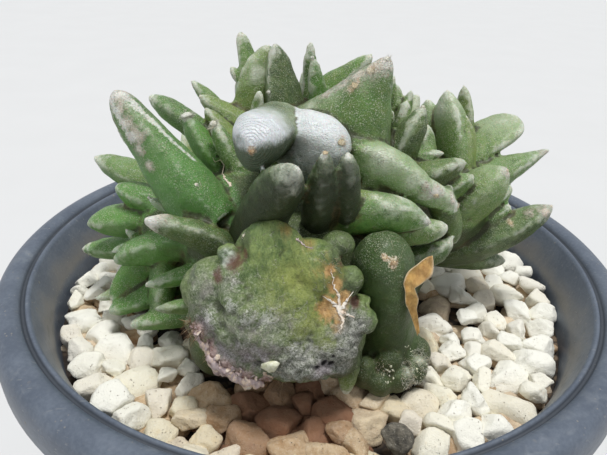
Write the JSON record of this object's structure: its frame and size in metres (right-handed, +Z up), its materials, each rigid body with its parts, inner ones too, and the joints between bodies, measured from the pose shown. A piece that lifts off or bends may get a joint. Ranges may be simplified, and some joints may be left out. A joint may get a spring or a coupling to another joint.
{
  "type": "potted monstrose ariocarpus cactus",
  "caption": "Monstrose living-rock cactus with fused horn-like tubercles, rooted in a round tapered plastic pot and top-dressed with pale gravel.",
  "frame": {"origin": "on the pot's axis, at the level of its foot", "axes": "+Z up along the pot's axis; -Y towards the plant's pictured front; +X to the right seen from there"},
  "size_m": [0.12, 0.12, 0.1408],
  "materials": {
    "pot": "matte dark blue-grey plastic with lime specks and scratches",
    "soil": "dry gritty potting mix",
    "gravel": "matte cream and pale yellow stones",
    "dark_stone": "rough dark grey-brown stone",
    "cactus": "waxy grey-green skin with pale corky and woolly tips",
    "dried_flake": "dry orange papery skin"
  },
  "bodies": {
    "root": {"pot": "pot", "soil": "soil", "gravel": "gravel", "dark_stone": "dark_stone", "cactus": "cactus", "dried_flake": "dried_flake"}
  },
  "joints": []
}
